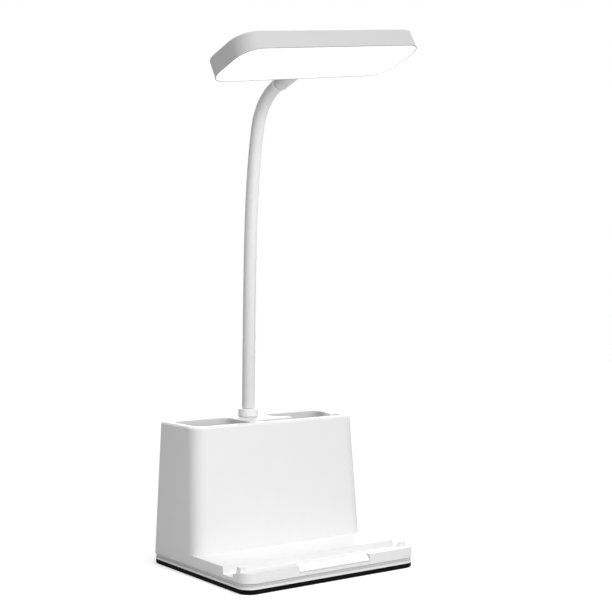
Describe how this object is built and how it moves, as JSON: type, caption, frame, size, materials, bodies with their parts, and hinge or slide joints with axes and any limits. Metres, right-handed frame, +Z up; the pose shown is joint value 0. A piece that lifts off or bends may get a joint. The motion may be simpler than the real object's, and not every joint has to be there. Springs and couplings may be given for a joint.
{
  "type": "desk lamp",
  "caption": "Desk lamp with a flexible neck and a flat rounded light head on a base with pen wells, a narrow slot and a phone ledge with a groove and end stops.",
  "frame": {"origin": "middle of the base's underside, on the table", "axes": "+Z up, -Y towards the user, +X to the lamp's right as the user faces it"},
  "size_m": [0.1451, 0.1122, 0.3268],
  "materials": {
    "shell": "satin white moulding",
    "gloss_shell": "glossy white",
    "neck_cover": "satin white, finely ribbed",
    "diffuser": "opal white",
    "pad_rubber": "matt black",
    "screw_steel": "plated",
    "weight_iron": "plain plate",
    "zinc_steel": "zinc plated",
    "copper": "copper",
    "board_green": "green resist",
    "board_white": "white resist",
    "black_plastic": "moulded",
    "cell_sleeve": "shrink sleeve",
    "led_face": "phosphor",
    "lead_cover": "soft cover"
  },
  "bodies": {
    "base": {"antislip_pad": "pad_rubber", "base_housing": "shell", "base_lead": "lead_cover", "base_screw_1": "screw_steel", "base_screw_2": "screw_steel", "base_screw_3": "screw_steel", "base_screw_4": "screw_steel", "battery_cell": "cell_sleeve", "bottom_cover": "shell", "charging_socket": "screw_steel", "control_board": "board_green", "counterweight": "weight_iron", "driver_chip": "black_plastic", "driver_coil": "copper", "neck_collar": "shell", "neck_nut": "zinc_steel", "neck_washer": "zinc_steel", "socket_tongue": "black_plastic", "storage_capacitor": "zinc_steel", "touch_sensor": "copper", "touch_strip": "gloss_shell"},
    "neck_01": {"neck_link_01": "neck_cover"},
    "neck_02": {"neck_link_02": "neck_cover"},
    "neck_03": {"neck_link_03": "neck_cover"},
    "neck_04": {"neck_link_04": "neck_cover"},
    "neck_05": {"neck_link_05": "neck_cover"},
    "neck_06": {"neck_link_06": "neck_cover"},
    "neck_07": {"neck_link_07": "neck_cover"},
    "neck_08": {"neck_link_08": "neck_cover"},
    "neck_09": {"neck_link_09": "neck_cover"},
    "neck_10": {"neck_link_10": "neck_cover"},
    "neck_11": {"neck_link_11": "neck_cover"},
    "lamp_head": {"diffuser": "diffuser", "head_housing": "shell", "head_screw_1": "screw_steel", "head_screw_2": "screw_steel", "head_screw_3": "screw_steel", "head_screw_4": "screw_steel", "led_board": "board_white", "led_chip_01": "led_face", "led_chip_02": "led_face", "led_chip_03": "led_face", "led_chip_04": "led_face", "led_chip_05": "led_face", "led_chip_06": "led_face", "led_chip_07": "led_face", "led_chip_08": "led_face", "led_chip_09": "led_face", "led_chip_10": "led_face", "led_chip_11": "led_face", "led_chip_12": "led_face", "neck_ferrule": "gloss_shell", "neck_link_12": "neck_cover", "reflector_frame": "board_white"}
  },
  "joints": [
    {"name": "neck_lower_bend", "type": "hinge", "parent": "base", "child": "neck_01", "pos_m": [0, 0.03822, 0.0911], "axis": [1, 0, 0], "range_deg": [-10, 10]},
    {"name": "neck_sway", "type": "hinge", "parent": "neck_01", "child": "neck_02", "pos_m": [0, 0.03785, 0.10878], "axis": [0, 0.9998, 0.021], "range_deg": [-8, 8]},
    {"name": "neck_bend_03", "type": "hinge", "parent": "neck_02", "child": "neck_03", "pos_m": [0, 0.03748, 0.12646], "axis": [1, 0, 0], "range_deg": [-10, 10]},
    {"name": "neck_sway_04", "type": "hinge", "parent": "neck_03", "child": "neck_04", "pos_m": [0, 0.03709, 0.14414], "axis": [0, 0.9997, 0.0229], "range_deg": [-8, 8]},
    {"name": "neck_bend_05", "type": "hinge", "parent": "neck_04", "child": "neck_05", "pos_m": [0, 0.03665, 0.16181], "axis": [1, 0, 0], "range_deg": [-10, 10]},
    {"name": "neck_sway_06", "type": "hinge", "parent": "neck_05", "child": "neck_06", "pos_m": [0, 0.03612, 0.17949], "axis": [0, 0.9994, 0.0345], "range_deg": [-8, 8]},
    {"name": "neck_upper_bend", "type": "hinge", "parent": "neck_06", "child": "neck_07", "pos_m": [0, 0.0354, 0.19716], "axis": [1, 0, 0], "range_deg": [-12, 12]},
    {"name": "neck_sway_08", "type": "hinge", "parent": "neck_07", "child": "neck_08", "pos_m": [0, 0.03436, 0.21481], "axis": [0, 0.9975, 0.0706], "range_deg": [-8, 8]},
    {"name": "neck_bend_09", "type": "hinge", "parent": "neck_08", "child": "neck_09", "pos_m": [0, 0.03283, 0.23243], "axis": [1, 0, 0], "range_deg": [-12, 12]},
    {"name": "neck_sway_10", "type": "hinge", "parent": "neck_09", "child": "neck_10", "pos_m": [0, 0.03059, 0.24997], "axis": [0, 0.9883, 0.1526], "range_deg": [-8, 8]},
    {"name": "neck_bend_11", "type": "hinge", "parent": "neck_10", "child": "neck_11", "pos_m": [0, 0.02733, 0.26734], "axis": [1, 0, 0], "range_deg": [-12, 12]},
    {"name": "neck_sway_12", "type": "hinge", "parent": "neck_11", "child": "lamp_head", "pos_m": [0.00016, 0.01975, 0.28311], "axis": [-0.0285, 0.7648, 0.6437], "range_deg": [-8, 8]}
  ],
  "couplings": [
    {"joint": "neck_bend_03", "follows": "neck_lower_bend", "ratio": 1},
    {"joint": "neck_sway_04", "follows": "neck_sway", "ratio": 1},
    {"joint": "neck_bend_05", "follows": "neck_lower_bend", "ratio": 1},
    {"joint": "neck_sway_06", "follows": "neck_sway", "ratio": 1},
    {"joint": "neck_sway_08", "follows": "neck_sway", "ratio": 1},
    {"joint": "neck_bend_09", "follows": "neck_upper_bend", "ratio": 1},
    {"joint": "neck_sway_10", "follows": "neck_sway", "ratio": 1},
    {"joint": "neck_bend_11", "follows": "neck_upper_bend", "ratio": 1},
    {"joint": "neck_sway_12", "follows": "neck_sway", "ratio": 1}
  ]
}
